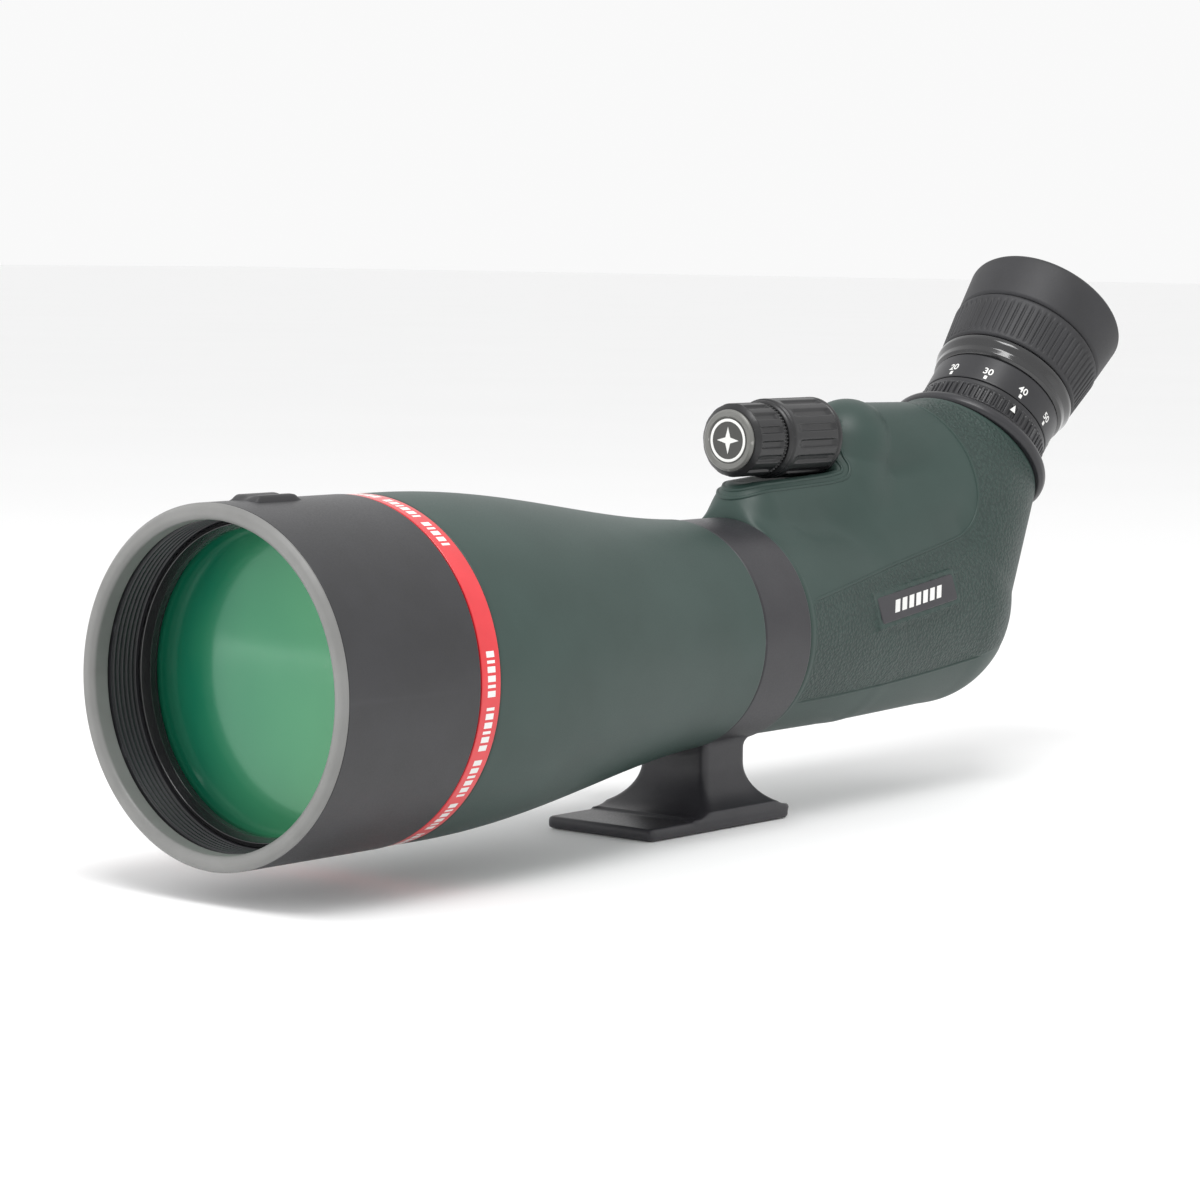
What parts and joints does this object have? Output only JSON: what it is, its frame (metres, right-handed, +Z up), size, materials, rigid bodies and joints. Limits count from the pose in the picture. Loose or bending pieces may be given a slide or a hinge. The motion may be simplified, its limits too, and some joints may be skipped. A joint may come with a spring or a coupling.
{
  "type": "spotting scope",
  "caption": "Angled zoom spotting scope with sliding sunshade, dual focus knobs, zoom eyepiece with twist-up eyecup, and a rotating tripod collar with a foot.",
  "frame": {"origin": "centre of the mouth of the tripod thread, in the underside of the foot", "axes": "+X along the optical axis from the objective towards the eyepiece, +Z up, +Y to the side of the collar's lock knob"},
  "size_m": [0.4069, 0.0955, 0.1672],
  "materials": {
    "black_paint": "fine matt black powder coat on die-cast alloy",
    "green_rubber": "satin dark green rubber armour, pebbled on the flank panel",
    "red_paint": "bright red enamel with white marks",
    "black_anodised": "satin black anodised",
    "matt_black": "flat anti-glare black",
    "gloss_black": "gloss black",
    "black_rubber": "soft matt black rubber",
    "black_felt": "short black felt",
    "coated_glass": "polished, green multi-coating",
    "clear_glass": "polished and coated",
    "steel": "turned",
    "brass": "turned",
    "grey_metal": "satin grey with a white ring",
    "white_plastic": "low-friction plastic"
  },
  "bodies": {
    "tripod_collar": {"tripod_collar": "black_paint", "tripod_thread_bush": "brass", "collar_brake_pad": "white_plastic"},
    "lock_knob": {"collar_lock_knob": "black_rubber", "collar_lock_screw": "steel"},
    "scope_tube": {"neck_tube": "black_anodised", "barrel_shell": "black_paint", "barrel_armour": "green_rubber", "trim_ring": "red_paint", "front_baffle": "matt_black", "rear_baffle": "matt_black", "objective_tube": "black_anodised", "objective_retaining_ring": "black_anodised", "objective_front_lens": "coated_glass", "objective_spacer": "matt_black", "objective_rear_lens": "coated_glass", "objective_o_ring": "black_rubber", "prism_housing": "black_paint", "housing_armour": "green_rubber", "badge_plates": "gloss_black", "roof_prism": "clear_glass", "prism_cradle": "black_anodised", "prism_clamp": "steel", "cradle_screws": "steel", "focus_gland": "black_anodised", "focus_o_ring": "black_rubber", "focus_guide_rods": "steel", "eyepiece_seat": "black_anodised", "eyepiece_o_ring": "black_rubber", "eyepiece_lock_ring": "black_anodised", "eyepiece_tube": "black_anodised", "eye_lens": "coated_glass", "eye_lens_retainer": "black_anodised"},
    "sunshade": {"sunshade_tube": "black_anodised", "sunshade_rim": "black_anodised", "sunshade_sight": "black_anodised", "sunshade_felt": "black_felt", "sunshade_stop_ring": "black_anodised"},
    "coarse_knob": {"coarse_focus_knob": "black_rubber", "focus_screw": "steel"},
    "fine_knob": {"fine_focus_knob": "black_rubber", "fine_knob_cap": "grey_metal", "fine_shaft": "steel"},
    "focus_carriage": {"focus_carriage": "brass", "focus_lens": "clear_glass"},
    "zoom_ring": {"zoom_dial": "black_anodised", "zoom_collar": "gloss_black", "zoom_grip": "black_rubber", "zoom_cam_sleeve": "black_anodised"},
    "front_zoom_group": {"front_zoom_cell": "black_anodised", "front_zoom_lens": "clear_glass"},
    "rear_zoom_group": {"rear_zoom_cell": "black_anodised", "rear_zoom_lens": "clear_glass"},
    "eyecup": {"eyecup_sleeve": "black_anodised", "eyecup": "black_rubber"}
  },
  "joints": [
    {"name": "tube_rotation", "type": "hinge", "parent": "tripod_collar", "child": "scope_tube", "pos_m": [0.002, 0, 0.0555], "axis": [1, 0, 0], "range_deg": [-135, 135]},
    {"name": "lock_knob_turn", "type": "hinge", "parent": "tripod_collar", "child": "lock_knob", "pos_m": [0.002, 0.04, 0.0555], "axis": [0, 1, 0], "range_deg": [-180, 180]},
    {"name": "sunshade_slide", "type": "slide", "parent": "scope_tube", "child": "sunshade", "axis": [-1, 0, 0], "range_m": [0, 0.032]},
    {"name": "coarse_focus", "type": "hinge", "parent": "scope_tube", "child": "coarse_knob", "pos_m": [0.04, 0, 0.1115], "axis": [1, 0, 0], "range_deg": [-450, 450]},
    {"name": "fine_focus", "type": "hinge", "parent": "scope_tube", "child": "fine_knob", "pos_m": [0.02, 0, 0.1115], "axis": [1, 0, 0], "continuous": true},
    {"name": "focus_travel", "type": "slide", "parent": "scope_tube", "child": "focus_carriage", "axis": [1, 0, 0], "range_m": [-0.005, 0.005]},
    {"name": "zoom_turn", "type": "hinge", "parent": "scope_tube", "child": "zoom_ring", "pos_m": [0.1642, 0, 0.1255], "axis": [0.7071, 0, 0.7071], "range_deg": [-75, 75]},
    {"name": "front_zoom_travel", "type": "slide", "parent": "scope_tube", "child": "front_zoom_group", "axis": [0.7071, 0, 0.7071], "range_m": [-0.004, 0.004]},
    {"name": "rear_zoom_travel", "type": "slide", "parent": "scope_tube", "child": "rear_zoom_group", "axis": [0.7071, 0, 0.7071], "range_m": [-0.0025, 0.0025]},
    {"name": "eyecup_slide", "type": "slide", "parent": "scope_tube", "child": "eyecup", "axis": [0.7071, 0, 0.7071], "range_m": [0, 0.007]}
  ],
  "couplings": [
    {"joint": "coarse_focus", "follows": "focus_travel", "rad_per_m": 1570.8},
    {"joint": "zoom_turn", "follows": "front_zoom_travel", "rad_per_m": 327.25},
    {"joint": "rear_zoom_travel", "follows": "front_zoom_travel", "ratio": -0.625}
  ]
}
